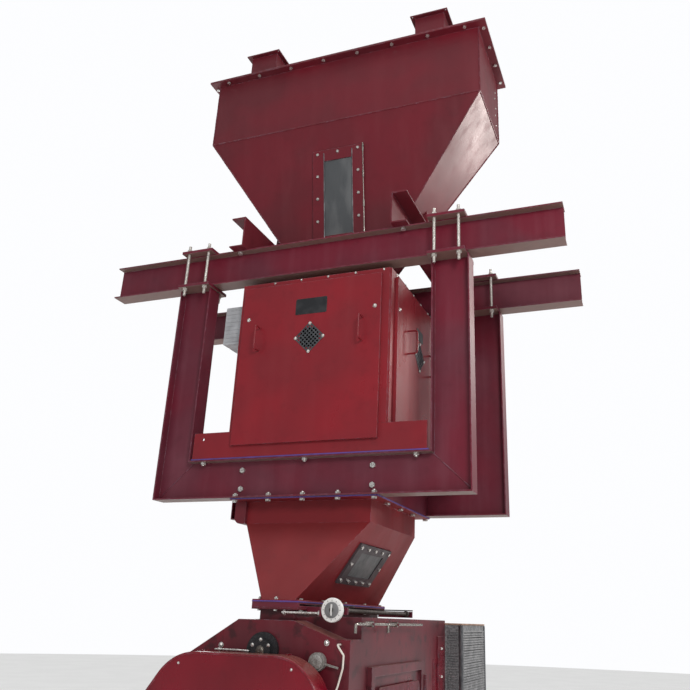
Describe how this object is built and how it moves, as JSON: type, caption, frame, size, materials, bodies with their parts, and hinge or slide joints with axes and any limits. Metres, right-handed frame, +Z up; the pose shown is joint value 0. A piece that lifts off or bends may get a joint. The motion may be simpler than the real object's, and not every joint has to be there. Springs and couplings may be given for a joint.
{
  "type": "hammer mill",
  "caption": "Belt-driven hammer mill on a base frame, fed through a slide gate, chute and feeder cabinet from a flanged surge hopper hung between overhead beams.",
  "frame": {"origin": "on the floor, at the centre of the mill's four anchor bolts", "axes": "+Z up, +Y from the belt-guard end to the drive tail, +X to the side with the chute's sight window"},
  "size_m": [2.7, 2.23, 5.197],
  "materials": {
    "oxblood_paint": "satin",
    "zinc": "satin",
    "bright_steel": "satin",
    "worn_steel": "rough",
    "sight_glass": "gloss",
    "light_grey": "satin",
    "machine_grey": "satin",
    "black_iron": "satin",
    "belt_rubber": "matte",
    "dial_plastic": "satin",
    "hose_white": "satin"
  },
  "bodies": {
    "root": {"hanger_frame_front": "oxblood_paint", "hanger_frame_rear": "oxblood_paint", "beams": "oxblood_paint", "hanger_rods": "zinc", "clamp_plates": "oxblood_paint", "cross_channels": "oxblood_paint", "hopper_shell": "oxblood_paint", "hopper_lid": "oxblood_paint", "inlet_collars": "oxblood_paint", "hopper_bolts": "zinc", "hopper_bearers": "oxblood_paint", "window_frames": "oxblood_paint", "sight_glasses": "sight_glass", "cabinet_body": "oxblood_paint", "base_pan": "oxblood_paint", "feeder_trough": "worn_steel", "feeder_bearings": "black_iron", "gearmotors": "machine_grey", "control_box": "light_grey", "chute": "oxblood_paint", "chute_bolts": "zinc", "aspiration_hood": "oxblood_paint", "gate_frame": "oxblood_paint", "mill_housing": "oxblood_paint", "mill_screen": "worn_steel", "mill_bearings": "black_iron", "intake_box": "machine_grey", "v_belts": "belt_rubber", "main_motor": "machine_grey", "belt_guard": "oxblood_paint", "base_frame": "oxblood_paint", "discharge_hopper": "oxblood_paint", "grease_hose": "hose_white", "structure_bolts": "zinc"},
    "front_door": {"cabinet_front_door": "oxblood_paint", "front_door_handles": "oxblood_paint", "front_door_vent": "zinc"},
    "side_door": {"cabinet_side_door": "oxblood_paint", "side_door_handles": "oxblood_paint", "side_door_vent": "zinc"},
    "feeder_rotor": {"feeder_roll": "worn_steel"},
    "gate_slide": {"gate_blade": "bright_steel"},
    "gate_wheel": {"gate_shaft": "bright_steel", "gate_dial": "dial_plastic"},
    "mill_rotor": {"rotor_shaft": "bright_steel", "rotor_discs": "worn_steel", "hammer_pins": "bright_steel", "rotor_sheave": "black_iron"},
    "hammer_row_1": {"hammers_1": "worn_steel"},
    "hammer_row_2": {"hammers_2": "worn_steel"},
    "hammer_row_3": {"hammers_3": "worn_steel"},
    "hammer_row_4": {"hammers_4": "worn_steel"},
    "motor_rotor": {"motor_shaft": "bright_steel", "motor_sheave": "black_iron"},
    "feed_rotor": {"feed_roll": "worn_steel"},
    "flow_flap": {"flow_director": "worn_steel"},
    "right_door": {"right_mill_door": "oxblood_paint"},
    "left_door": {"left_mill_door": "oxblood_paint"},
    "front_latch": {"hatch_handle_front": "bright_steel"},
    "rear_latch": {"hatch_handle_rear": "bright_steel"}
  },
  "joints": [
    {"name": "front_door_pull", "type": "slide", "parent": "root", "child": "front_door", "axis": [0, -1, 0], "range_m": [0, 0.15]},
    {"name": "side_door_pull", "type": "slide", "parent": "root", "child": "side_door", "axis": [1, 0, 0], "range_m": [0, 0.15]},
    {"name": "feeder_spin", "type": "hinge", "parent": "root", "child": "feeder_rotor", "pos_m": [0, 0.06, 2.81], "axis": [1, 0, 0], "continuous": true},
    {"name": "gate_travel", "type": "slide", "parent": "root", "child": "gate_slide", "axis": [1, 0, 0], "range_m": [0, 0.15]},
    {"name": "gate_wheel_turn", "type": "hinge", "parent": "root", "child": "gate_wheel", "pos_m": [0.29, 0, 1.6257], "axis": [0, 1, 0], "range_deg": [0, 572.9]},
    {"name": "rotor_spin", "type": "hinge", "parent": "root", "child": "mill_rotor", "pos_m": [0, 0, 1.03], "axis": [0, 1, 0], "continuous": true},
    {"name": "hammer_swing_1", "type": "hinge", "parent": "mill_rotor", "child": "hammer_row_1", "pos_m": [0.13435, 0, 1.16435], "axis": [0, 1, 0], "range_deg": [-60, 60]},
    {"name": "hammer_swing_2", "type": "hinge", "parent": "mill_rotor", "child": "hammer_row_2", "pos_m": [-0.13435, 0, 1.16435], "axis": [0, 1, 0], "range_deg": [-60, 60]},
    {"name": "hammer_swing_3", "type": "hinge", "parent": "mill_rotor", "child": "hammer_row_3", "pos_m": [-0.13435, 0, 0.89565], "axis": [0, 1, 0], "range_deg": [-60, 60]},
    {"name": "hammer_swing_4", "type": "hinge", "parent": "mill_rotor", "child": "hammer_row_4", "pos_m": [0.13435, 0, 0.89565], "axis": [0, 1, 0], "range_deg": [-60, 60]},
    {"name": "motor_spin", "type": "hinge", "parent": "root", "child": "motor_rotor", "pos_m": [-0.715, 0, 0.621], "axis": [0, 1, 0], "continuous": true},
    {"name": "feed_roll_spin", "type": "hinge", "parent": "root", "child": "feed_rotor", "pos_m": [0, 0, 1.456], "axis": [0, 1, 0], "continuous": true},
    {"name": "flow_director_turn", "type": "hinge", "parent": "root", "child": "flow_flap", "pos_m": [0.262, 0, 1.423], "axis": [0, 1, 0], "range_deg": [-15, 15]},
    {"name": "right_door_swing", "type": "hinge", "parent": "root", "child": "right_door", "pos_m": [0.4226, 0.355, 1.1], "axis": [0, 0, 1], "range_deg": [0, 110]},
    {"name": "left_door_swing", "type": "hinge", "parent": "root", "child": "left_door", "pos_m": [-0.4226, 0.355, 1.1], "axis": [0, 0, 1], "range_deg": [-110, 0]},
    {"name": "front_latch_turn", "type": "hinge", "parent": "root", "child": "front_latch", "pos_m": [0.42, -0.492, 1.574], "axis": [1, 0, 0], "range_deg": [-90, 0]},
    {"name": "rear_latch_turn", "type": "hinge", "parent": "root", "child": "rear_latch", "pos_m": [0.42, -0.16, 1.574], "axis": [1, 0, 0], "range_deg": [0, 90]}
  ],
  "couplings": [
    {"joint": "gate_travel", "follows": "gate_wheel_turn", "m_per_rad": 0.015},
    {"joint": "motor_spin", "follows": "rotor_spin", "ratio": 0.85326}
  ]
}
